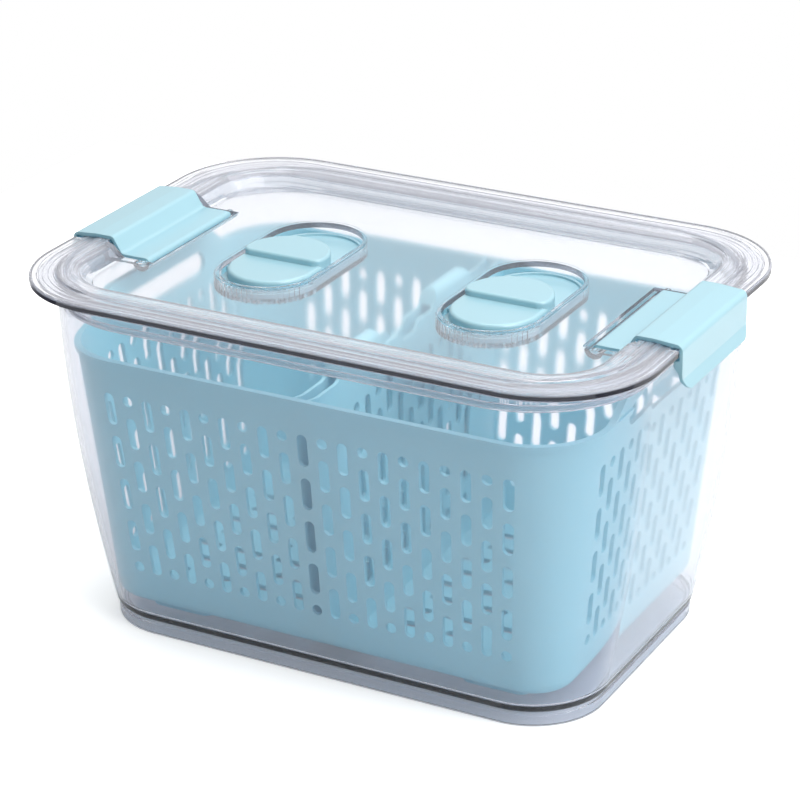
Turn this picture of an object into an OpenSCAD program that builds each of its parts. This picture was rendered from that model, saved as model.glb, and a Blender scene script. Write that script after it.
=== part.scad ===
// Produce keeper: a clear bin and lid with two clips, two sliding vents and a slotted basket.
// Millimetres, +Z up, origin at the middle of the footprint on the table; the long side runs along X.

/* [Lid] */
// Length of the lid over the brim
lid_len = 300; // [290:1:320]
// Width of the lid over the brim
lid_wid = 213; // [205:1:230]
// Corner radius of the brim
lid_r = 50; // [44:1:54]
// Height of the underside of the brim above the table
brim_z = 167.3; // [160:0.1:185]
// Thickness of the brim
brim_t = 2.9; // [2:0.1:4]
// How far the raised ring stands above the brim
ring_rise = 0.8; // [0.4:0.1:1.5]
// Width of the flat brim outside the raised ring
brim_w = 11.5; // [10:0.5:13]
// Distance from the edge of the brim to the inner step
step_in = 28; // [26:0.5:30]
// Depth of the panel below the brim
panel_drop = 5.4; // [4.6:0.1:7]
// Thickness of the panel
panel_t = 2.6; // [2:0.1:3.5]
// How far the plug reaches below the brim
plug_h = 11.4; // [9:0.1:14]
// Thickness of the plug
plug_t = 2.4; // [2:0.1:3]
// Gap between the plug and the wall of the bin
plug_gap = 0.9; // [0.6:0.1:1.5]

/* [Bin] */
// How far the corner centres of the bin lie inside those of the lid
corner_in = 12; // [10:0.5:13]
// How far the top of the wall is set in from the edge of the brim
wall_in = 7.2; // [7:0.1:8]
// How much farther out the wall stands at the rim than at the foot
bin_flare = 19.2; // [17:0.1:19.4]
// Bow of the walls, where 1 is a straight slope
bin_bow = 1.8; // [1.6:0.1:2]
// Thickness of the walls
bin_t = 2.4; // [1.8:0.1:2.6]
// Height of the foot ring
foot_h = 5.2; // [4:0.1:5.6]
// How far the foot ring is set in from the wall
foot_in = 1.2; // [1:0.1:2]
// Height of the top of the floor
floor_z = 9.5; // [8.5:0.1:11]
// Thickness of the floor
floor_t = 3; // [2:0.1:3.5]
// How far the rim flange is set in from the edge of the brim
flange_in = 3.8; // [3.4:0.1:4.5]
// Thickness of the rim flange
flange_t = 2.4; // [1.6:0.1:3]

/* [Basket] */
// Room between the rim of the basket and the bin at each end
end_room = 11.1; // [10:0.1:14]
// Room between the rim of the basket and the bin at each long side
side_room = 4.7; // [4.2:0.1:7]
// How far the rim of the basket lies below the rim of the bin
bas_drop = 27.2; // [26:0.1:36]
// Corner radius of the wall just under the rim
bas_r = 33; // [32:0.5:35]
// Outward slope of the walls, sideways for each unit of height
bas_draft = 0.112; // [0.105:0.001:0.125]
// Thickness of the walls
bas_t = 2; // [1.5:0.1:2.4]
// Height of the feet
bas_foot = 5; // [4.5:0.1:7]
// Radius of the bend between wall and floor
bend_r = 8; // [6:0.5:10]
// How far the lip stands out from the wall
lip_w = 1; // [0.6:0.1:1]
// Height of the lip
lip_h = 2.4; // [1.5:0.1:4]
// How far the arched ends rise above the rim
arch_rise = 9.5; // [8:0.5:10]
// Width of the hand slots
hand_w = 72; // [60:1:80]
// Height of the hand slots
hand_h = 10.3; // [8:0.1:11]

/* [Slots] */
// Width of a slot
slot_w = 5; // [4.2:0.1:5.2]
// Distance from one slot to the next in its column
row_gap = 5.8; // [5.2:0.1:8]
// How far the first row lies below the rim
row_drop = 16.7; // [16:0.1:20]
// Height of the lowest row above the underside of the basket
row_foot = 22.7; // [22:0.1:26]
// Slot columns on each side of the middle of a long wall
long_cols = 10; // [8:1:10]
// Slot columns on each side of the middle of an end wall
end_cols = 6; // [4:1:6]
// Share by which the columns of a long wall draw together downwards
long_lean = 0.055; // [0.04:0.005:0.07]
// Share by which the columns of an end wall draw together downwards
end_lean = 0.138; // [0.08:0.002:0.15]

/* [Divider] */
// Distance between the two divider walls, middle to middle, at the rim
div_gap = 6.6; // [6.4:0.1:7.2]
// Thickness of a divider wall
div_t = 1.6; // [1.2:0.1:1.8]
// How far each divider wall leans out for each unit of height
div_draft = 0.02; // [0.01:0.002:0.022]
// How far the raised bars stand above the rim of the basket
bar_rise = 7.5; // [5:0.5:9]
// Distance from the middle to the near end of a raised bar
bar_in = 25; // [22:0.5:28]
// Length of a raised bar
bar_len = 35; // [28:0.5:38]

/* [Clips] */
// Width of a clip
clip_w = 70; // [60:1:74]
// Thickness of a clip
clip_t = 1.5; // [1.3:0.1:1.8]
// How far a hinge axis is from the edge of the brim
hinge_in = 37.6; // [37:0.2:39]
// Radius of the hinge barrel
barrel_r = 2.2; // [1.8:0.1:2.6]
// Radius of the stub pins
pin_r = 1.2; // [1:0.1:1.5]
// Running clearance round a stub pin
pin_gap = 0.08; // [0.05:0.01:0.1]
// Height of the outer skirt
skirt_h = 22.2; // [18:0.2:24]

/* [Vents] */
// Distance of each vent from the middle of the lid
vent_x = 56; // [52:1:60]
// Outer radius of a vent cup
cup_r = 24; // [22:0.5:25]
// Half distance between the end centres of a vent cup
cup_half = 21; // [19:0.5:23]
// How far a cup rim stands above the panel
cup_rise = 0.5; // [0.2:0.1:1.5]
// Depth of a cup inside, from its rim
cup_depth = 7.4; // [7.2:0.1:8]
// Thickness of the cup walls and floor
cup_t = 1.8; // [1.5:0.1:2.2]
// How far a slider travels
vent_travel = 26; // [22:0.5:26]

/* [Hidden] */
$fn = 64;
eps = 0.01;

clear_tint = [0.86, 0.87, 0.92, 0.35];
blue_tint = [0.64, 0.85, 0.91];
pale_tint = [0.93, 0.92, 0.94];

// Lid
lid_cx = lid_len / 2 - lid_r;
lid_cy = lid_wid / 2 - lid_r;
brim_top = brim_z + brim_t;
ring_top = brim_top + ring_rise;
panel_z = brim_top - panel_drop;
step_r = lid_r - step_in;
plug_z = brim_z - plug_h;

// Bin
seat_gap = 0.1;
rim_z = brim_z - seat_gap;
bin_cx = lid_cx - corner_in;
bin_cy = lid_cy - corner_in;
bin_top_r = lid_r + corner_in - wall_in;
bin_r = bin_top_r - bin_flare;
wall_z0 = foot_h + 3.3;
function bin_out(z) = bin_top_r - bin_flare * pow(max(0, (rim_z - z) / (rim_z - wall_z0)), bin_bow);
function bin_in(z) = bin_out(z) - bin_t;
flange_r = lid_r - flange_in;
plug_r = bin_in(plug_z) - plug_gap;

// Seal ring round the plug
seal_h = 2.2;
seal_z = plug_z + 1;
seal_d = 1.2;
seal_fit = 0.05;
seal_reach = plug_gap - 0.3;

// Basket
bas_z0 = floor_z + 0.05 + bas_foot;
bas_top = rim_z - bas_drop;
bas_cx = bin_cx + bin_in(bas_top) - end_room - bas_r;
bas_cy = bin_cy + bin_in(bas_top) - side_room - bas_r;
function bas_out(z) = bas_r + (z - bas_top) * bas_draft;
function bas_in(z) = bas_out(z) - bas_t;
arch_flat = 40;
hand_z = bas_top + arch_rise - 8.2 - hand_h / 2;
row_top = bas_top - row_drop;
row_end = bas_z0 + row_foot;
row_pitch = (row_top - row_end) / 4;
slot_l = row_pitch - row_gap;
long_pitch = (bas_cx + slot_w * 0.58) / long_cols;
end_pitch = (bas_cy + slot_w * 0.12) / end_cols;

// Divider
bar_z = bas_top + bar_rise;
bar_out = bar_in + bar_len;
dip_z = bas_top - 5.5;
ledge_z = bas_top - 1.2;
front_z = bas_top - 1.8;

// Clips
hinge_x = lid_len / 2 - hinge_in;
tongue_top = panel_z + 0.4;
hinge_z = tongue_top - barrel_r;
clip_gap = 0.35;
nose_gap = 0.9;
plate_top = ring_top + clip_gap + clip_t;
web_x = lid_len / 2 - 25.1;
web_run = 4.6;
web_angle = atan((plate_top - tongue_top) / web_run);
web_back = clip_t * tan(web_angle / 2);
bend = 2.6;
bend_reach = bend * tan(web_angle / 2);
shoulder = 3;
skirt_x = lid_len / 2 + 1;
skirt_z = plate_top - skirt_h;
lip_out = 2.4;
notch_x = lid_len / 2 - 4.5;
notch_half = clip_w / 2 + 1.5;
nose_x = lid_cx + flange_r + nose_gap;
nose_top = rim_z - flange_t - 0.5;
nose_h = 5.5;
pocket_in = hinge_x - barrel_r - 3.6;
pocket_out = web_x + web_run + web_back + 1;
pocket_half = clip_w / 2 + 2;
pocket_t = 1.8;
pocket_r = barrel_r + 0.5;
pin_l = 4.2;

// Vents
cup_in = cup_r - cup_t;
cup_rim = panel_z + cup_rise;
cup_floor = cup_rim - cup_depth;
tray_fit = 0.1;
tray_r = cup_in - tray_fit;
tray_t = 1.4;
tray_in = tray_r - tray_t;
tray_floor = cup_floor + 0.05;
tray_base = 1.2;
tray_rim = 1;
slide_gap = 0.35;
slider_r = tray_in - slide_gap;
slider_z = tray_floor + tray_base + 0.25;
foot_top = slider_z + 2.2;
lobe_top = panel_z + 0.8;
grip_top = lobe_top + 2.9;
slider_front = -cup_half;
slider_back = cup_half - 0.4 - vent_travel;
lobe_front = slider_front + 3.6;
grip_corner = 5;
grip_y = slider_back - grip_corner - 0.4;
groove_z = slider_z + 0.35;
groove_h = 1.7;
groove_d = 0.8;
tab_gap = 0.3;
tab_l = 10;
rail_top = groove_z + groove_h + 0.9;
pad_in = 2.4;
pad_r = slider_r - pad_in;
pad_t = 1.1;
vent_slots = 5;
vent_slot_w = 2.6;
vent_slot_l = 24;
vent_slot_pitch = 4.8;
vent_slot_in = 10.5;

// Points of an arc round [x, y], from angle a to angle b
function arc(x, y, r, a, b, n = 10) =
    [for (i = [0:n]) let (t = a + (b - a) * i / n) [x + r * cos(t), y + r * sin(t)]];

// Smooth step from 0 to 1 as x goes from a to b
function ease(x, a, b) = x <= a ? 0 : x >= b ? 1 : (1 - cos(180 * (x - a) / (b - a))) / 2;

// A section, given as radius and height, swept round a rectangle of corner centres
module around(cx, cy) {
    for (k = [0:3]) {
        sx = (k == 0 || k == 3) ? 1 : -1;
        sy = k < 2 ? 1 : -1;
        translate([sx * cx, sy * cy, 0])
            rotate([0, 0, 90 * k])
                rotate_extrude(angle = 90)
                    children();
    }
    for (s = [0:1]) {
        rotate([0, 0, 180 * s]) {
            translate([cx, cy, 0])
                rotate([90, 0, 0])
                    linear_extrude(2 * cy)
                        children();
            translate([-cx, cy, 0])
                rotate([90, 0, 90])
                    linear_extrude(2 * cx)
                        children();
        }
    }
}

// Flat plate with the rounded outline of radius r round corner centres
module rounded_plate(cx, cy, r, z, t) {
    translate([0, 0, z])
        linear_extrude(t)
            union() {
                square([2 * cx, 2 * (cy + r)], center = true);
                square([2 * (cx + r), 2 * cy], center = true);
                for (x = [-cx, cx], y = [-cy, cy])
                    translate([x, y])
                        circle(r);
            }
}

// Stadium outline along Y between end centres a and b
module stadium(r, a, b) {
    translate([-r, a])
        square([2 * r, b - a]);
    translate([0, a])
        circle(r);
    translate([0, b])
        circle(r);
}

module stadium_plate(r, a, b, z, t) {
    translate([0, 0, z])
        linear_extrude(t)
            stadium(r, a, b);
}

// Stadium along Y with a rounded upper edge
module pebble(r, a, b, z0, z1, edge) {
    side = concat([[0, z0], [r, z0]], arc(r - edge, z1 - edge, edge, 0, 90, 6), [[0, z1]]);
    translate([0, a, 0])
        rotate([0, 0, 180])
            rotate_extrude(angle = 180)
                polygon(side);
    translate([0, b, 0])
        rotate_extrude(angle = 180)
            polygon(side);
    for (s = [0:1])
        mirror([s, 0, 0])
            translate([0, b, 0])
                rotate([90, 0, 0])
                    linear_extrude(b - a)
                        polygon(side);
}

// Block with a round back, rounded front corners and a rounded upper edge
module soft_block(r, corner, front, back, z0, z1, edge) {
    function side(reach) =
        concat([[0, z0], [reach, z0]], arc(reach - edge, z1 - edge, edge, 0, 90, 6), [[0, z1]]);
    half = r - corner;
    translate([0, back, 0])
        rotate_extrude(angle = 180)
            polygon(side(r));
    for (s = [0:1])
        mirror([s, 0, 0]) {
            translate([half, front + corner, 0])
                rotate([0, 0, 270])
                    rotate_extrude(angle = 90)
                        polygon(side(corner));
            translate([half, back, 0])
                rotate([90, 0, 0])
                    linear_extrude(back - front - corner)
                        polygon(side(corner));
        }
    translate([-half, front + corner, 0])
        rotate([90, 0, 90])
            linear_extrude(2 * half)
                polygon([for (p = side(corner)) [-p[0], p[1]]]);
    translate([-half, front + corner, z0])
        cube([2 * half, back - front - corner, z1 - z0]);
}

// Section of the bin: foot ring, groove over it, bowed wall and floor
module bin_section() {
    steps = 12;
    foot_r = bin_r - foot_in;
    polygon(concat(
        [[foot_r, 0], [foot_r, foot_h], [foot_r - 0.8, foot_h + 0.3], [foot_r - 0.8, foot_h + 2.3]],
        [for (i = [0:steps]) let (z = wall_z0 + (rim_z - wall_z0) * i / steps) [bin_out(z), z]],
        [for (i = [0:steps]) let (z = rim_z - (rim_z - floor_z - 3) * i / steps) [bin_in(z), z]],
        arc(bin_in(floor_z + 3) - 3, floor_z + 3, 3, -12, -90, 5),
        [
            [20, floor_z],
            [20, floor_z - floor_t],
            [foot_r - 3.4, floor_z - floor_t],
            [foot_r - 3, 0]
        ]
    ));
}

module bin() {
    color(clear_tint)
        union() {
            around(bin_cx, bin_cy)
                bin_section();
            rounded_plate(bin_cx, bin_cy, 22, floor_z - floor_t, floor_t);
            difference() {
                rounded_plate(lid_cx, lid_cy, flange_r, rim_z - flange_t, flange_t);
                rounded_plate(bin_cx, bin_cy, bin_in(rim_z) + bin_t / 3, rim_z - flange_t - 1, flange_t + 2);
            }
        }
}

// Section of the rim: brim, raised ring, slope down to the panel
module lid_rim_section() {
    crest_r = step_r + 5.4;
    polygon([
        [lid_r, brim_z],
        [lid_r, brim_top - 0.9],
        [lid_r - 0.3, brim_top - 0.3],
        [lid_r - 0.9, brim_top],
        [lid_r - brim_w, brim_top],
        [lid_r - brim_w - 0.8, ring_top],
        [crest_r + 3, ring_top],
        [crest_r + 2, ring_top - 0.5],
        [crest_r + 1, ring_top - 0.9],
        [crest_r, ring_top - 1.4],
        [step_r + 0.8, panel_z + 0.5],
        [step_r, panel_z],
        [10, panel_z],
        [10, panel_z - panel_t],
        [step_r + 1.6, panel_z - panel_t],
        [step_r + 7.4, brim_z]
    ]);
}

module plug_section() {
    polygon([
        [plug_r, brim_z + eps],
        [plug_r, seal_z + seal_h],
        [plug_r - seal_d, seal_z + seal_h],
        [plug_r - seal_d, seal_z],
        [plug_r, seal_z],
        [plug_r, plug_z + 0.4],
        [plug_r - 0.4, plug_z],
        [plug_r - plug_t, plug_z],
        [plug_r - plug_t, brim_z + eps]
    ]);
}

// Outline of the pocket that takes a clip's tongue, seen along Y, grown by g
module pocket_section(g, top, rim_top) {
    low = tongue_top - clip_t - 0.6 - g;
    inner = pocket_in - g;
    outer = pocket_out + g;
    under_rim = lid_cx + step_r + 4;
    union() {
        intersection() {
            translate([hinge_x, hinge_z])
                circle(pocket_r + g);
            translate([inner, hinge_z - 10])
                square([20, top - hinge_z + 10]);
        }
        translate([inner, hinge_z])
            square([outer - inner, top - hinge_z]);
        translate([hinge_x, low])
            square([outer - hinge_x, top - low]);
        translate([under_rim, low])
            square([outer - under_rim, rim_top - low]);
    }
}

module along_y(half) {
    translate([0, half, 0])
        rotate([90, 0, 0])
            linear_extrude(2 * half)
                children();
}

module vent_slot_holes(z, t) {
    for (i = [0:vent_slots - 1])
        translate([0, slider_front - vent_slot_in + i * vent_slot_pitch, z])
            linear_extrude(t)
                rotate(90)
                    stadium(vent_slot_w / 2, -vent_slot_l / 2, vent_slot_l / 2);
}

// Upright ribs round the front end of a cup, on its outside under the panel
module cup_ribs() {
    for (a = [-66:6:66])
        translate([0, -cup_half, 0])
            rotate([0, 0, a])
                translate([0, -cup_r, cup_floor - cup_t])
                    cylinder(r = 0.55, h = panel_z - panel_t - cup_floor + cup_t + 0.5, $fn = 16);
}

module lid() {
    color(clear_tint)
        difference() {
            union() {
                around(lid_cx, lid_cy)
                    lid_rim_section();
                rounded_plate(lid_cx, lid_cy, 14, panel_z - panel_t, panel_t);
                around(bin_cx, bin_cy)
                    plug_section();
                for (s = [0:1])
                    mirror([s, 0, 0]) {
                        along_y(pocket_half + pocket_t)
                            pocket_section(pocket_t, panel_z - 0.5, brim_z + 1);
                        translate([vent_x, 0, 0]) {
                            stadium_plate(cup_r, -cup_half, cup_half, cup_floor - cup_t, cup_depth + cup_t);
                            cup_ribs();
                        }
                    }
            }
            for (s = [0:1])
                mirror([s, 0, 0]) {
                    along_y(pocket_half)
                        pocket_section(0, ring_top + 1, ring_top + 1);
                    along_y(clip_w / 2 + pin_l)
                        translate([hinge_x, hinge_z])
                            circle(pin_r + pin_gap);
                    translate([notch_x, -notch_half, brim_z - 1])
                        cube([10, 2 * notch_half, 6]);
                    translate([vent_x, 0, 0]) {
                        stadium_plate(cup_in, -cup_half, cup_half, cup_floor, cup_depth + 1);
                        vent_slot_holes(cup_floor - cup_t - 1, cup_t + 2);
                    }
                }
        }
}

module lid_seal() {
    color(pale_tint)
        around(bin_cx, bin_cy)
            polygon([
                [plug_r - seal_d + seal_fit, seal_z + seal_fit],
                [plug_r + seal_reach - 0.5, seal_z + seal_fit],
                [plug_r + seal_reach, seal_z + seal_h / 2],
                [plug_r + seal_reach - 0.5, seal_z + seal_h - seal_fit],
                [plug_r - seal_d + seal_fit, seal_z + seal_h - seal_fit]
            ]);
}

// Clip seen along Y: barrel, tongue, bent web, plate over the brim, skirt with its hook and lip
module clip_section() {
    inner_x = skirt_x - clip_t;
    outer_top = plate_top - ring_rise;
    translate([hinge_x, hinge_z])
        circle(barrel_r);
    polygon(concat(
        [
            [hinge_x, tongue_top - clip_t],
            [web_x + web_back, tongue_top - clip_t],
            [web_x + web_run + web_back, plate_top - clip_t],
            [lid_len / 2 - brim_w, plate_top - clip_t],
            [lid_len / 2 - 4, outer_top - clip_t],
            [inner_x, outer_top - clip_t],
            [inner_x, nose_top + 0.6],
            [nose_x, nose_top],
            [nose_x, nose_top - nose_h + 3],
            [inner_x, nose_top - nose_h],
            [inner_x + 0.2, skirt_z + 5.2],
            [inner_x + lip_out, skirt_z],
            [skirt_x - 0.4 + lip_out, skirt_z + 0.6],
            [skirt_x + 0.1, skirt_z + 6]
        ],
        arc(skirt_x - shoulder, outer_top - shoulder, shoulder, 0, 84, 8),
        [[lid_len / 2 - brim_w, plate_top]],
        arc(web_x + web_run + bend_reach, plate_top - bend, bend, 90, 90 + web_angle, 8),
        arc(web_x - bend_reach, tongue_top + bend, bend, web_angle - 90, -90, 8),
        [[hinge_x, tongue_top]]
    ));
}

// Clip on the +X side; its skirt has rounded lower corners
module clip() {
    corner = 9;
    color(blue_tint)
        union() {
            intersection() {
                along_y(clip_w / 2)
                    clip_section();
                rotate([90, 0, 90])
                    linear_extrude(lid_len)
                        union() {
                            translate([-clip_w / 2, skirt_z + corner])
                                square([clip_w, skirt_h]);
                            translate([-clip_w / 2 + corner, skirt_z - 1])
                                square([clip_w - 2 * corner, skirt_h]);
                            for (y = [-1, 1])
                                translate([y * (clip_w / 2 - corner), skirt_z + corner])
                                    circle(corner);
                        }
            }
            along_y(clip_w / 2 + pin_l - 0.4)
                translate([hinge_x, hinge_z])
                    circle(pin_r);
        }
}

module clip_right() {
    clip();
}

module clip_left() {
    mirror([1, 0, 0])
        clip();
}

// Tray on the floor of a cup: low rim at the ends, grooved rails at the sides
module vent_tray() {
    color(blue_tint)
        difference() {
            union() {
                stadium_plate(tray_r, -cup_half, cup_half, tray_floor, tray_base + tray_rim);
                for (s = [0:1])
                    mirror([s, 0, 0])
                        translate([tray_in, -cup_half, tray_floor])
                            cube([tray_t, 2 * cup_half, rail_top - tray_floor]);
            }
            stadium_plate(tray_in, -cup_half, cup_half, tray_floor + tray_base, cup_depth);
            vent_slot_holes(tray_floor - 1, tray_base + 2);
            translate([-tray_in - groove_d, -cup_half - 1, groove_z])
                cube([2 * (tray_in + groove_d), 2 * cup_half + 2, groove_h]);
        }
}

module vent_tray_left() {
    translate([-vent_x, 0, 0])
        vent_tray();
}

module vent_tray_right() {
    translate([vent_x, 0, 0])
        vent_tray();
}

// Slider: foot plate with side tabs, low front lobe and a raised grip
module vent_slider() {
    color(blue_tint)
        difference() {
            union() {
                stadium_plate(slider_r, slider_front, slider_back, slider_z, foot_top - slider_z);
                pebble(slider_r, lobe_front, slider_back, foot_top - 0.2, lobe_top, 1.8);
                soft_block(slider_r, grip_corner, grip_y, slider_back, foot_top, grip_top, 1.3);
                for (s = [0:1])
                    mirror([s, 0, 0])
                        translate([
                            slider_r - 0.4,
                            (slider_front + slider_back - tab_l) / 2,
                            groove_z + tab_gap
                        ])
                            cube([slide_gap + 0.9, tab_l, groove_h - 2 * tab_gap]);
            }
            stadium_plate(
                pad_r + 0.05, slider_front + 0.6, slider_back - 0.6, slider_z - 1, 1 + pad_t - 0.15
            );
        }
}

module vent_slider_left() {
    translate([-vent_x, 0, 0])
        vent_slider();
}

module vent_slider_right() {
    translate([vent_x, 0, 0])
        vent_slider();
}

module vent_pad() {
    color(pale_tint)
        stadium_plate(pad_r, slider_front + 0.6, slider_back - 0.6, slider_z - 0.15, pad_t - 0.05);
}

module vent_pad_left() {
    translate([-vent_x, 0, 0])
        vent_pad();
}

module vent_pad_right() {
    translate([vent_x, 0, 0])
        vent_pad();
}

// Upright slot centred on height z, leaning with its column
module slot(x, z, l, lean) {
    span = row_top - row_end;
    translate([x * (1 - lean * (row_top - z) / span), z])
        rotate(-atan(x * lean / span))
            translate([0, -(l - slot_w) / 2])
                stadium(slot_w / 2, 0, l - slot_w);
}

// Columns of slots; even columns end in a round hole, odd ones begin with it
module slot_pattern(cols, pitch, lean) {
    for (c = [-cols:cols]) {
        x = c * pitch;
        if (c % 2 == 0) {
            for (r = [0:3])
                slot(x, row_top - slot_l / 2 - r * row_pitch, slot_l, lean);
            slot(x, row_top - 4 * row_pitch - slot_w / 2, slot_w + 0.1, lean);
        } else {
            slot(x, row_top - slot_w / 2, slot_w + 0.1, lean);
            for (r = [0:3])
                slot(x, row_top - row_pitch / 2 - slot_l / 2 - r * row_pitch, slot_l, lean);
        }
    }
}

function arch_z(y) = bas_top + arch_rise * (1 - ease(abs(y), arch_flat, bas_cy - 1));

// Arched upper part of one end wall, on the +X side
module arched_end() {
    ys = [for (i = [-30:30]) i * (bas_cy - eps) / 30];
    intersection() {
        translate([bas_cx, bas_cy, 0])
            rotate([90, 0, 0])
                linear_extrude(2 * bas_cy)
                    polygon([
                        [bas_in(bas_top - 3), bas_top - 3],
                        [bas_out(bas_top - 3), bas_top - 3],
                        [bas_out(bas_top + 12), bas_top + 12],
                        [bas_in(bas_top + 12), bas_top + 12]
                    ]);
        rotate([90, 0, 90])
            linear_extrude(200)
                polygon(concat(
                    [[-bas_cy, bas_top - 2]],
                    [for (y = ys) [y, arch_z(y)]],
                    [[bas_cy, bas_top - 2]]
                ));
    }
    intersection() {
        translate([bas_cx, bas_cy, 0])
            rotate([90, 0, 0])
                linear_extrude(2 * bas_cy)
                    polygon([
                        [bas_in(bas_top - 3) + 0.5, bas_top - 3],
                        [bas_out(bas_top - 3) + lip_w, bas_top - 3],
                        [bas_out(bas_top + 12) + lip_w, bas_top + 12],
                        [bas_in(bas_top + 12) + 0.5, bas_top + 12]
                    ]);
        rotate([90, 0, 90])
            linear_extrude(200)
                polygon(concat(
                    [for (y = ys) [y, arch_z(y)]],
                    [for (i = [0:len(ys) - 1]) let (y = ys[len(ys) - 1 - i]) [y, arch_z(y) - lip_h]]
                ));
    }
}

function divider_z(y) =
    dip_z
    + (ledge_z - dip_z) * ease(abs(y), 4.5, 10)
    + (bar_z - ledge_z) * ease(abs(y), bar_in - 3, bar_in + 4)
    - (bar_z - front_z) * ease(abs(y), bar_out - 5, bar_out + 5)
    + (bas_top - 0.4 - front_z) * ease(abs(y), 80, 90);

// Outline of the divider seen along X: the slanted long walls and the shaped top
module divider_outline() {
    reach = bas_cy + bas_out(bas_top) - 0.6;
    foot = bas_cy + bas_out(bas_z0 + 1) - 0.6;
    polygon(concat(
        [[-foot + 6, bas_z0 + 1]],
        [[-foot + 1, bas_z0 + 5]],
        [for (i = [-60:60]) let (y = i * reach / 60) [y, divider_z(y)]],
        [[foot - 1, bas_z0 + 5]],
        [[foot - 6, bas_z0 + 1]]
    ));
}

// Both divider walls seen along Y, joined under the raised bars by a rounded cap
module divider_section() {
    outer = div_gap / 2 + div_t / 2;
    low = (bas_top - bas_z0) * div_draft;
    for (s = [0:1])
        mirror([s, 0])
            polygon([
                [outer + low, bas_z0],
                [outer, bas_top],
                [outer, bar_z - outer],
                [outer - div_t, bar_z - outer],
                [outer - div_t, bas_top],
                [outer - div_t + low, bas_z0]
            ]);
}

module divider_bars() {
    outer = div_gap / 2 + div_t / 2;
    for (s = [-1, 1])
        translate([0, s * (bar_in + bar_out) / 2, 0])
            intersection() {
                along_y((bar_out - bar_in) / 2 + 5)
                    translate([0, bar_z - outer])
                        circle(outer);
                translate([-10, -30, bas_top])
                    cube([20, 60, 20]);
            }
}

module divider() {
    intersection() {
        union() {
            along_y(100)
                divider_section();
            divider_bars();
        }
        translate([-10, 0, 0])
            rotate([90, 0, 90])
                linear_extrude(20)
                    divider_outline();
    }
}

module basket_feet() {
    for (x = [-1, 1], y = [-1, 1])
        translate([x * (bas_cx - 15.5), y * (bas_cy + 3.6), bas_z0 - bas_foot])
            linear_extrude(bas_foot + 0.5)
                rotate(90)
                    stadium(5, -11, 11);
}

// Short slots across the floor, in staggered rows on each side of the divider
module floor_slots() {
    step_x = bas_cx * 0.24;
    step_y = bas_cy * 0.24;
    translate([0, 0, bas_z0 - 1])
        linear_extrude(bas_t + 2)
            for (s = [-1, 1], r = [-4:4], i = [0:3])
                translate([s * step_x * (i + (r % 2 == 0 ? 0.95 : 1.28)), r * step_y])
                    rotate(90)
                        stadium(2.25, -step_x / 4, step_x / 4);
}

module basket() {
    color(blue_tint)
        difference() {
            union() {
                around(bas_cx, bas_cy)
                    polygon(concat(
                        [
                            [bas_in(bas_top), bas_top],
                            [bas_out(bas_top) + lip_w, bas_top],
                            [bas_out(bas_top - lip_h) + lip_w, bas_top - lip_h],
                            [bas_out(bas_top - lip_h), bas_top - lip_h]
                        ],
                        arc(bas_out(bas_z0 + bend_r) - bend_r, bas_z0 + bend_r, bend_r, 0, -90, 8),
                        [[5, bas_z0], [5, bas_z0 + bas_t]],
                        arc(bas_out(bas_z0 + bend_r) - bend_r, bas_z0 + bend_r, bend_r - bas_t, -90, 0, 8)
                    ));
                rounded_plate(bas_cx, bas_cy, 8, bas_z0, bas_t);
                for (s = [0:1])
                    mirror([s, 0, 0])
                        arched_end();
                divider();
                basket_feet();
            }
            for (s = [0:1])
                rotate([0, 0, 180 * s])
                    translate([0, -bas_cy - bas_r / 3, 0])
                        rotate([90, 0, 0])
                            linear_extrude(bas_r)
                                slot_pattern(long_cols, long_pitch, long_lean);
            translate([-2 * bas_cx, 0, 0])
                rotate([90, 0, 90])
                    linear_extrude(4 * bas_cx)
                        slot_pattern(end_cols, end_pitch, end_lean);
            for (s = [0:1])
                mirror([s, 0, 0])
                    translate([bas_cx, 0, 0])
                        rotate([90, 0, 90])
                            linear_extrude(2 * bas_r)
                                translate([0, hand_z])
                                    rotate(90)
                                        stadium(hand_h / 2, -(hand_w - hand_h) / 2, (hand_w - hand_h) / 2);
            floor_slots();
        }
}

bin();
lid();
lid_seal();
clip_left();
clip_right();
vent_tray_left();
vent_tray_right();
vent_slider_left();
vent_slider_right();
vent_pad_left();
vent_pad_right();
basket();
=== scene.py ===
"""Looks of the produce keeper: clear bin and lid, pale blue clips, vents and slotted basket."""

import math

import bpy
import numpy as np
from mathutils import Matrix, Vector


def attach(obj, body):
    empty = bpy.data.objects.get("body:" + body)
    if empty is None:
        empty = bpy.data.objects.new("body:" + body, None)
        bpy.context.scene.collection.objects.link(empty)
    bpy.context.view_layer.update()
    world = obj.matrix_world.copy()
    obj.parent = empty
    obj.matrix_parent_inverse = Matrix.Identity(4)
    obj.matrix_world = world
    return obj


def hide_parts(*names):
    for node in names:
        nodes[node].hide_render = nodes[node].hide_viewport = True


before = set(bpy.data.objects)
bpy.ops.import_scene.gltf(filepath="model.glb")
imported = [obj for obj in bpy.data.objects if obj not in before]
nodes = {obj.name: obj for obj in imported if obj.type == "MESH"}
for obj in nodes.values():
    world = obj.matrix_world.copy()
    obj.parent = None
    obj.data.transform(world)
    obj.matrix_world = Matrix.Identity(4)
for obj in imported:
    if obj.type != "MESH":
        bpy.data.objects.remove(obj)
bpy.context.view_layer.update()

CLIPS_AND_VENTS = (
    "clip_left",
    "clip_right",
    "vent_tray_left",
    "vent_tray_right",
    "vent_slider_left",
    "vent_slider_right",
)
SEALS = ("lid_seal", "vent_pad_left", "vent_pad_right")

# Camera: angles in degrees, focal length in the photograph's pixels, sensor in mm, place in metres
TO_THE_RIGHT, ABOVE, ROLL = 28.608, 23.742, -0.677
FOCAL, PHOTO_WIDTH, SENSOR = 2957.9, 800, 36
CAMERA_PLACE = (0.5865, -1.0775, 0.6436)

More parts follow.
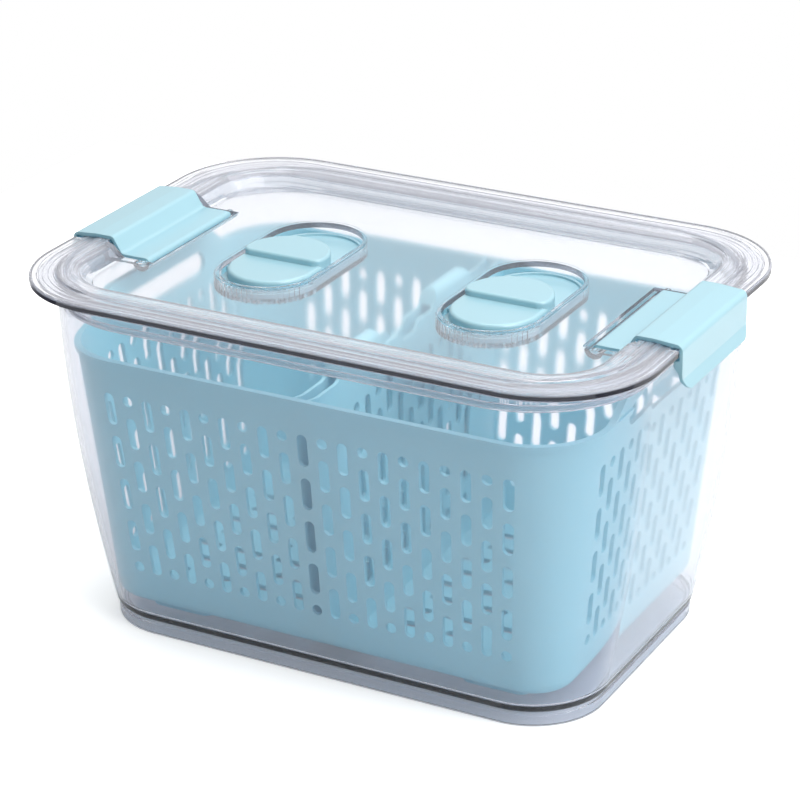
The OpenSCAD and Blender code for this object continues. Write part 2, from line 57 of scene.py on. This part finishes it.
# Clear plastics
PLASTIC_IOR = 1.45
DEPTH_TINT = (0.64, 0.67, 0.74, 1)
PASSED_TINT = (0.95, 0.95, 0.97, 1)

# Lid, in metres: its corner points (+-x, +-y), and where each of its zones begins and is full
LID_CORNER = (0.1, 0.0565)
RIM_ZONE = (0.024, 0.029)  # distances from the corner points
# The brim's edge and low zones below bound the painted dark line on the lid's brim
BRIM_EDGE_ZONE = (0.0484, 0.0490)  # distances from the corner points
BRIM_LOW_ZONE = (0.1697, 0.1690)  # heights
RIDGES_PER_METRE = 1400
RIDGE_STRENGTH = 0.28
CREASE_TURN = 1250  # radians per metre
CREASE_SHARPNESS = 12
CREASE_SHARE = 0.6
RIM_POLISH = 0.7
RIM_MIST = 0.12

# Blue mouldings
# One plastic in two tones: the basket's blue is painted brighter and the clips' and vents' darker,
# painted light and shade for how the lamps reach inside the keeper and onto the tops
BASKET_BLUE_PAINTED_BRIGHTER = (0.48, 0.9, 0.97, 1)
CLIP_BLUE_PAINTED_DARKER = (0.45, 0.7, 0.77, 1)
GLOW_BLUE = (0.35, 0.8, 0.92, 1)
CLOUD_SHADE = 0.97

# Bin's section, in mm: distances from the corner points (+-x, +-y), and heights
BIN_CORNER = (88, 44.5)
FLANGE_CORNER = (100, 56.5)
RIM_REACH, RIM_HEIGHT = 54.8, 167.2
TAPER, WALL_HEIGHT, BOW = 19.2, 158.7, 1.8
WALL = 2.4
FLANGE_REACH, FLANGE_UNDER, FLANGE_INSET = 46.2, 164.8, 0.4
WALL_FOOT_REACH, WALL_FOOT = 35.6, 8.5
LIP_REACH, LIP_UNDER = 35.2, 7.8
GROOVE_REACH, GROOVE_TOP, GROOVE_LOW = 33.6, 7.4, 5.6
RING_REACH, RING_TOP, RING_INSIDE, RING_DRAFT = 34.4, 5.1, 31.4, 0.4
FLOOR_TOP, FLOOR_UNDER, FLOOR_REACH = 9.5, 6.5, 20
INSIDE_ROWS, OUTSIDE_ROWS = (12.5, 164), (9, 162)  # heights that the wall's own rows keep between
WALL_ROWS = 25
CORNER_ROWS = 5
ARC_STEPS = 30

# Rounded corners: largest share of a side that one takes, and how far off its close rows stand
CORNER_SHARE = 0.45
CLOSE_ROW, CLOSE_ROW_SHARE = 1.5, 0.48  # in radii, and the most in shares of the side

# Room: how much brighter it gets towards each side, and where its light zone begins and is full
BRIGHT_RIGHT, BRIGHT_BACK, BRIGHT_TOP = 0.35, 0.9, 0.55
LIGHT_ZONE = (-0.55, 0.35)
FILL = (0.28, 0.75)  # light on matt surfaces from its grey and from its bright side

# Floor, in metres, with its glow from close by the keeper to open ground
FLOOR_HALF_SIDE = 0.5
SHADOW_REACH = 0.045
FLOOR_GLOW = (0.3, 0.65)
MIRRORED_GLOW = 0.5

# Lamps: name, place and size in metres, power in watts
LAMP_AIM = (0, 0, 0.1)
LAMPS = (
    ("top_lamp", (0.1, 0.5, 1.5), (1.4, 1.2), 12),
    ("key_lamp", (1.0, -0.3, 1.4), (0.9, 0.9), 16.5),
    ("right_lamp", (1.7, -0.1, 0.5), (0.9, 1.2), 5),
)
BOUNCES = 16


# Camera


def photograph_camera():
    """The photograph's camera: to the right of the front and above it, with a slight roll."""
    around, above, roll = (math.radians(a) for a in (TO_THE_RIGHT, ABOVE, ROLL))
    level = math.cos(above)
    right = Vector((math.cos(around), math.sin(around), 0))
    back = Vector((math.sin(around) * level, -math.cos(around) * level, math.sin(above)))
    up = back.cross(right)
    turned_right = math.cos(roll) * right + math.sin(roll) * up
    turned_up = -math.sin(roll) * right + math.cos(roll) * up
    lens = bpy.data.cameras.new("photograph_camera")
    lens.sensor_width = SENSOR
    lens.lens = FOCAL / PHOTO_WIDTH * SENSOR
    lens.clip_end = 50
    camera = bpy.data.objects.new("photograph_camera", lens)
    place = Matrix((turned_right, turned_up, back)).transposed().to_4x4()
    place.translation = CAMERA_PLACE
    camera.matrix_world = place
    bpy.context.scene.collection.objects.link(camera)
    bpy.context.scene.camera = camera


# Node trees


class Tree:
    """Short calls that add and join shader nodes of one material or world."""

    def __init__(self, owner):
        owner.use_nodes = True
        self.tree = owner.node_tree
        self.tree.nodes.clear()

    def add(self, kind, inputs=None, **settings):
        """A node with its settings, and its sockets set to values or joined to other sockets."""
        made = self.tree.nodes.new(kind)
        for name, value in settings.items():
            setattr(made, name, value)
        for name, value in (inputs or {}).items():
            socket = made.inputs[name]
            if isinstance(value, bpy.types.NodeSocket):
                self.tree.links.new(value, socket)
            else:
                socket.default_value = value
        return made

    def math(self, operation, a, b=0.0):
        return self.add("ShaderNodeMath", {0: a, 1: b}, operation=operation).outputs[0]

    def noise(self, scale, detail):
        """Noise on the piece's own coordinates, in cycles per metre."""
        place = self.add("ShaderNodeTexCoord").outputs["Object"]
        inputs = {"Vector": place, "Scale": scale, "Detail": detail}
        return self.add("ShaderNodeTexNoise", inputs).outputs["Fac"]

    def spread(self, value, low, high):
        """Value from 0 to 1 carried to the span low to high."""
        inputs = {"Value": value, "To Min": low, "To Max": high}
        return self.add("ShaderNodeMapRange", inputs).outputs[0]

    def zone(self, value, begin, full, **settings):
        """0 up to where the zone begins, rising to 1 where it is full."""
        inputs = {"Value": value, "From Min": begin, "From Max": full}
        return self.add("ShaderNodeMapRange", inputs, **settings).outputs[0]

    def colours(self, amount, first, second):
        """Colour that goes from the first to the second as the amount goes from 0 to 1."""
        mix = self.add("ShaderNodeMix", {0: amount, 6: first, 7: second}, data_type="RGBA")
        return mix.outputs[2]

    def shaders(self, amount, first, second):
        """Shader that goes from the first to the second as the amount goes from 0 to 1."""
        return self.add("ShaderNodeMixShader", {0: amount, 1: first, 2: second}).outputs[0]

    def bump(self, height, strength, distance, **inputs):
        inputs.update({"Height": height, "Strength": strength, "Distance": distance})
        return self.add("ShaderNodeBump", inputs).outputs[0]

    def background(self, colour, strength):
        return self.add("ShaderNodeBackground", {"Color": colour, "Strength": strength}).outputs[0]


# Materials


def passes_light(t, body, colour):
    """Shader that stands aside for shadow and diffuse rays, so that light reaches what the plastic
    holds."""
    path = t.add("ShaderNodeLightPath").outputs
    through = t.add("ShaderNodeBsdfTransparent", {"Color": colour}).outputs[0]
    light = t.math("MAXIMUM", path["Is Shadow Ray"], path["Is Diffuse Ray"])
    return t.shaders(light, body, through)


def plastic_depth(t, density):
    """Light loses a little of its red and green on its way inside the plastic, so that grazing
    views look greyer."""
    inputs = {"Color": DEPTH_TINT, "Density": density}
    return t.add("ShaderNodeVolumeAbsorption", inputs).outputs[0]


def clear_plastic(name, haze, veil, density):
    """Polished see-through plastic; slow waves bend its reflections, and a little light scatters on
    its surface."""
    made = bpy.data.materials.new(name)
    t = Tree(made)
    body = t.add(
        "ShaderNodeBsdfPrincipled",
        {
            "Base Color": (0.97, 0.97, 0.985, 1),
            "Roughness": t.spread(t.noise(300, detail=3), haze * 0.5, haze * 1.5),
            "Normal": t.bump(t.noise(14, detail=0), strength=0.1, distance=0.001),
            "IOR": PLASTIC_IOR,
            "Transmission Weight": 1,
        },
    )
    mist = t.add("ShaderNodeBsdfDiffuse", {"Color": (0.78, 0.79, 0.86, 1)})
    surface = passes_light(t, t.shaders(veil, body.outputs[0], mist.outputs[0]), PASSED_TINT)
    t.add("ShaderNodeOutputMaterial", {"Surface": surface, "Volume": plastic_depth(t, density)})
    return made


def lid_plastic(name, haze, veil, density):
    """The same plastic for the lid. Zones are told by the distance from the corner points: the rim
    has fine ridges along it, a cleaner gloss, more mist and a stronger shade, and the lower part of
    its brim's edge is painted near-black, a painted dark reflection line."""
    made = bpy.data.materials.new(name)
    t = Tree(made)
    place = t.add("ShaderNodeTexCoord").outputs["Object"]
    x, y, z = t.add("ShaderNodeSeparateXYZ", {"Vector": place}).outputs
    past_x, past_y = (
        t.math("MAXIMUM", t.math("SUBTRACT", t.math("ABSOLUTE", along), corner))
        for along, corner in zip((x, y), LID_CORNER)
    )
    squares = t.math("ADD", t.math("MULTIPLY", past_x, past_x), t.math("MULTIPLY", past_y, past_y))
    reach = t.math("SQRT", squares)
    rim = t.zone(reach, *RIM_ZONE)
    # Painted dark line: the brim's lower outer edge gets a near-black base colour, painted shade in
    # place of its dark reflection
    painted_dark_edge = t.math("MULTIPLY", t.zone(reach, *BRIM_EDGE_ZONE), t.zone(z, *BRIM_LOW_ZONE))

    line = {"X": t.math("MULTIPLY", reach, RIDGES_PER_METRE), "Y": 0.5, "Z": 0.5}
    across = t.add("ShaderNodeCombineXYZ", line).outputs[0]
    uneven = t.add("ShaderNodeTexNoise", {"Vector": across, "Scale": 1, "Detail": 2}).outputs["Fac"]
    wave = t.math("ABSOLUTE", t.math("SINE", t.math("MULTIPLY", reach, CREASE_TURN)))
    crease = t.math("POWER", wave, CREASE_SHARPNESS)
    ridges = t.math("ADD", uneven, t.math("MULTIPLY", crease, CREASE_SHARE))
    bump = t.bump(ridges, strength=t.math("MULTIPLY", rim, RIDGE_STRENGTH), distance=0.0005)

    polish = t.math("SUBTRACT", 1, t.math("MULTIPLY", rim, RIM_POLISH))
    uneven_haze = t.spread(t.noise(300, detail=3), haze * 0.7, haze * 1.3)
    rough = t.math("MULTIPLY", polish, uneven_haze)
    body = t.add(
        "ShaderNodeBsdfPrincipled",
        {
            # near-black painted dark line on the brim's lower edge
            "Base Color": t.colours(painted_dark_edge, (0.985, 0.985, 0.99, 1), (0.004, 0.004, 0.008, 1)),
            "Roughness": rough,
            "Normal": bump,
            "IOR": PLASTIC_IOR,
            "Transmission Weight": 1,
        },
    )
    mist = t.add("ShaderNodeBsdfDiffuse", {"Color": (0.88, 0.88, 0.93, 1), "Normal": bump})
    amount = t.math("ADD", t.math("MULTIPLY", rim, RIM_MIST), veil)
    amount = t.math("MULTIPLY", amount, t.math("SUBTRACT", 1, painted_dark_edge))
    shade = t.colours(rim, PASSED_TINT, (0.65, 0.66, 0.7, 1))
    surface = passes_light(t, t.shaders(amount, body.outputs[0], mist.outputs[0]), shade)
    t.add("ShaderNodeOutputMaterial", {"Surface": surface, "Volume": plastic_depth(t, density)})
    return made


def blue_plastic(name, colour, rough, edge, through, shine):
    """Satin pale blue moulding: a fine grain in its gloss, soft edges, and light that comes through
    the wall."""
    made = bpy.data.materials.new(name)
    t = Tree(made)
    if edge:
        soft_edge = t.add("ShaderNodeBevel", {"Radius": edge}, samples=4).outputs[0]
    else:
        soft_edge = t.add("ShaderNodeNewGeometry").outputs["Normal"]
    grain = t.noise(2500, detail=2)
    bump = t.bump(grain, strength=0.08, distance=0.0002, Normal=soft_edge)
    darker = tuple(CLOUD_SHADE * c for c in colour[:3]) + (1,)
    body = t.add(
        "ShaderNodeBsdfPrincipled",
        {
            "Base Color": t.colours(t.noise(18, detail=2), colour, darker),
            "Roughness": t.spread(t.noise(400, detail=2), rough - 0.05, rough + 0.05),
            "Normal": bump,
            "IOR": 1.49,
            "Coat Weight": shine,
            "Coat Roughness": 0.2,
            "Coat Normal": bump,
        },
    )
    glow = t.add("ShaderNodeBsdfTranslucent", {"Color": GLOW_BLUE, "Normal": soft_edge})
    surface = t.shaders(through, body.outputs[0], glow.outputs[0])
    t.add("ShaderNodeOutputMaterial", {"Surface": surface})
    return made


def clear_silicone(name):
    """Soft clear rubber with a dusty, even sheen."""
    made = bpy.data.materials.new(name)
    t = Tree(made)
    body = t.add(
        "ShaderNodeBsdfPrincipled",
        {
            "Base Color": (0.95, 0.95, 0.97, 1),
            "Roughness": t.spread(t.noise(200, detail=2), 0.12, 0.2),
            "Normal": t.bump(t.noise(900, detail=3), strength=0.1, distance=0.0002),
            "IOR": 1.41,
            "Transmission Weight": 0.95,
        },
    )
    surface = passes_light(t, body.outputs[0], (0.95, 0.95, 0.96, 1))
    t.add("ShaderNodeOutputMaterial", {"Surface": surface})
    return made


def dress(names, material):
    """Gives the CAD nodes of these names one material."""
    for name in names:
        slots = nodes[name].data.materials
        slots.clear()
        slots.append(material)


# Bin


def soft_corners(points, radii):
    """Rows of a path whose corners are parabolas. A corner starts and ends one radius away along
    its two sides, and its rows are (1-t)^2 start + 2t(1-t) corner + t^2 end, for t from 0 to 1. On
    each side of it a close row stands a little further away, so that the flat next to it shades
    flat."""
    reach = np.column_stack((points[:, 0] + points[:, 2], points[:, 3]))
    rows = [points[0]]
    t = np.linspace(0, 1, CORNER_ROWS)[:, None]
    for i in range(1, len(points) - 1):
        if radii[i] == 0:
            rows.append(points[i])
            continue
        before, after = (np.linalg.norm(reach[j] - reach[i]) for j in (i - 1, i + 1))
        back, on = points[i - 1] - points[i], points[i + 1] - points[i]
        a, b = (min(radii[i] / d, CORNER_SHARE) for d in (before, after))
        start, end = points[i] + a * back, points[i] + b * on
        rows.append(points[i] + min(CLOSE_ROW * a, CLOSE_ROW_SHARE) * back)
        rows.extend((1 - t) ** 2 * start + 2 * t * (1 - t) * points[i] + t**2 * end)
        rows.append(points[i] + min(CLOSE_ROW * b, CLOSE_ROW_SHARE) * on)
    rows.append(points[-1])
    return np.array(rows)


def rounded_shell(name, rows):
    """Skin through rounded rectangles: row (cx, cy, r, z) is the path at distance r from the four
    points (+-cx, +-cy) at height z, in mm; flat faces close the first and the last row."""
    quarters = np.array([0, 90, 180, 270])[:, None]
    angle = np.radians((np.linspace(0, 90, ARC_STEPS + 1)[None, :] + quarters).ravel())
    sign_x = np.repeat([1, -1, -1, 1], ARC_STEPS + 1)
    sign_y = np.repeat([1, 1, -1, -1], ARC_STEPS + 1)
    cx, cy, r, z = (rows[:, i, None] for i in range(4))
    x = sign_x * cx + r * np.cos(angle)
    y = sign_y * cy + r * np.sin(angle)
    place = np.stack((x, y, z + 0 * x), axis=2).reshape(-1, 3) / 1000
    count, around = len(rows), len(angle)
    i, j = np.meshgrid(np.arange(count - 1), np.arange(around), indexing="ij")
    k = (j + 1) % around
    corners = (i * around + j, (i + 1) * around + j, (i + 1) * around + k, i * around + k)
    first_cap = list(range(around))
    last_cap = list(range((count - 1) * around, count * around))[::-1]
    faces = np.stack(corners, axis=2).reshape(-1, 4).tolist() + [first_cap, last_cap]
    mesh = bpy.data.meshes.new(name)
    mesh.from_pydata(place, [], faces)
    mesh.polygons.foreach_set("use_smooth", [True] * len(faces))
    made = bpy.data.objects.new(name, mesh)
    bpy.context.scene.collection.objects.link(made)
    return made


def wall_reach(depth):
    """Distance of the outer wall from the corner points, in mm: it falls with the 1.8th power of
    the depth, which goes from 0 at the rim to 1 at the wall's foot."""
    return RIM_REACH - TAPER * depth**BOW


def bin_shell():
    """The bin's wall as one smooth skin, from the middle of its floor up inside, over the rim and
    down outside to the foot ring and under the floor. Outside it keeps to wall_reach, inside it
    runs one wall further in; rim flange, groove and foot ring are corners of the path."""
    depth = np.linspace(0, 1, WALL_ROWS)
    height = RIM_HEIGHT - WALL_HEIGHT * depth

    def wall_rows(inset, low, high):
        rows = zip(wall_reach(depth), height)
        return [(BIN_CORNER, r - inset, z, 0) for r, z in rows if low < z < high]

    floor_edge = wall_reach((RIM_HEIGHT - FLOOR_TOP) / WALL_HEIGHT) - WALL
    # Each corner of the path: corner points, distance from them, height, radius of its rounding
    path = [
        (BIN_CORNER, FLOOR_REACH, FLOOR_TOP, 0),
        (BIN_CORNER, floor_edge, FLOOR_TOP, 3),
        *wall_rows(WALL, *INSIDE_ROWS)[::-1],
        (BIN_CORNER, RIM_REACH - WALL, RIM_HEIGHT, 0.6),
        (FLANGE_CORNER, FLANGE_REACH, RIM_HEIGHT, 0.5),
        (FLANGE_CORNER, FLANGE_REACH, FLANGE_UNDER, 0.5),
        (BIN_CORNER, RIM_REACH - FLANGE_INSET, FLANGE_UNDER, 0.8),
        *wall_rows(0, *OUTSIDE_ROWS),
        (BIN_CORNER, WALL_FOOT_REACH, WALL_FOOT, 0.6),
        (BIN_CORNER, LIP_REACH, LIP_UNDER, 0.3),
        (BIN_CORNER, GROOVE_REACH, GROOVE_TOP, 0.3),
        (BIN_CORNER, GROOVE_REACH, GROOVE_LOW, 0.3),
        (BIN_CORNER, RING_REACH, RING_TOP, 0.3),
        (BIN_CORNER, RING_REACH, 0, 0.6),
        (BIN_CORNER, RING_INSIDE, 0, 0.6),
        (BIN_CORNER, RING_INSIDE - RING_DRAFT, FLOOR_UNDER, 1),
        (BIN_CORNER, FLOOR_REACH, FLOOR_UNDER, 0),
    ]
    points = np.array([(*corner, r, z) for corner, r, z, _ in path], float)
    made = rounded_shell("bin_shell", soft_corners(points, [row[-1] for row in path]))
    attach(made, "base")
    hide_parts("bin")
    return made


# Room


def white_room():
    """World that is white to the camera. To the plastic it is brighter towards the back, the top
    and the right, and grey towards the front, so that rims and bends show."""
    world = bpy.data.worlds.new("white_room")
    bpy.context.scene.world = world
    t = Tree(world)
    path = t.add("ShaderNodeLightPath").outputs
    way = t.add("ShaderNodeTexCoord").outputs["Generated"]
    x, y, z = t.add("ShaderNodeSeparateXYZ", {"Vector": way}).outputs
    lean = t.math("ADD", t.math("MULTIPLY", y, BRIGHT_BACK), t.math("MULTIPLY", z, BRIGHT_TOP))
    lean = t.math("ADD", lean, t.math("MULTIPLY", x, BRIGHT_RIGHT))
    lit = t.zone(lean, *LIGHT_ZONE, interpolation_type="SMOOTHSTEP")
    tone = t.colours(lit, (0.2, 0.2, 0.22, 1), (0.85, 0.85, 0.86, 1))
    mirrored = t.math("MAXIMUM", path["Is Glossy Ray"], path["Is Transmission Ray"])
    fill = t.background((0.97, 0.99, 1, 1), t.spread(lit, *FILL))
    unseen = t.shaders(mirrored, fill, t.background(tone, 1))
    surface = t.shaders(path["Is Camera Ray"], unseen, t.background((1, 1, 1, 1), 1))
    t.add("ShaderNodeOutputWorld", {"Surface": surface})


def pale_floor():
    """Square floor that glows to a pale tone for camera, gloss and clear plastic, and less so
    close to the keeper, where it keeps the shadow."""
    side = FLOOR_HALF_SIDE
    corners = [(-side, -side, 0), (side, -side, 0), (side, side, 0), (-side, side, 0)]
    mesh = bpy.data.meshes.new("pale_floor")
    mesh.from_pydata(corners, [], [(0, 1, 2, 3)])
    floor = bpy.data.objects.new("pale_floor", mesh)
    bpy.context.scene.collection.objects.link(floor)
    paint = bpy.data.materials.new("floor_paint")
    t = Tree(paint)
    path = t.add("ShaderNodeLightPath").outputs
    mirrored = t.math("MAXIMUM", path["Is Glossy Ray"], path["Is Transmission Ray"])
    dimmed = t.math("MULTIPLY", mirrored, MIRRORED_GLOW)
    seen = t.math("MAXIMUM", path["Is Camera Ray"], dimmed)
    open_sky = t.add("ShaderNodeAmbientOcclusion", {"Distance": SHADOW_REACH}, samples=3)
    strength = t.math("MULTIPLY", seen, t.spread(open_sky.outputs["AO"], *FLOOR_GLOW))
    pale = t.add("ShaderNodeBsdfDiffuse", {"Color": (0.8, 0.8, 0.8, 1)})
    glow = t.add("ShaderNodeEmission", {"Color": (1, 0.99, 0.97, 1), "Strength": strength})
    both = t.add("ShaderNodeAddShader", {0: pale.outputs[0], 1: glow.outputs[0]})
    t.add("ShaderNodeOutputMaterial", {"Surface": both.outputs[0]})
    mesh.materials.append(paint)


def soft_lamps():
    """Large rectangular lamps above and to the right, turned to the keeper."""
    for name, place, size, power in LAMPS:
        light = bpy.data.lights.new(name, "AREA")
        light.shape = "RECTANGLE"
        light.size, light.size_y = size
        light.energy = power
        lamp = bpy.data.objects.new(name, light)
        lamp.location = place
        aim = Vector(LAMP_AIM) - Vector(place)
        lamp.rotation_euler = aim.to_track_quat("-Z", "Y").to_euler()
        bpy.context.scene.collection.objects.link(lamp)


photograph_camera()
white_room()
pale_floor()
soft_lamps()
bin_plastic = clear_plastic("clear_plastic", haze=0.05, veil=0.03, density=145)
bin_shell().data.materials.append(bin_plastic)
dress(["lid"], lid_plastic("lid_plastic", haze=0.07, veil=0.045, density=30))
# The basket's blue carries painted light and the clips' and vents' blue painted shade; they are one
# plastic
basket_plastic = blue_plastic(
    "basket_plastic", BASKET_BLUE_PAINTED_BRIGHTER, rough=0.36, edge=0, through=0.25, shine=0.2
)
dress(["basket"], basket_plastic)
clip_plastic = blue_plastic(
    "blue_plastic", CLIP_BLUE_PAINTED_DARKER, rough=0.33, edge=0.0006, through=0.25, shine=0.9
)
dress(CLIPS_AND_VENTS, clip_plastic)
dress(SEALS, clear_silicone("clear_silicone"))

scene = bpy.context.scene
scene.view_settings.view_transform = "Standard"
scene.cycles.max_bounces = BOUNCES
scene.cycles.transmission_bounces = BOUNCES
scene.cycles.transparent_max_bounces = BOUNCES
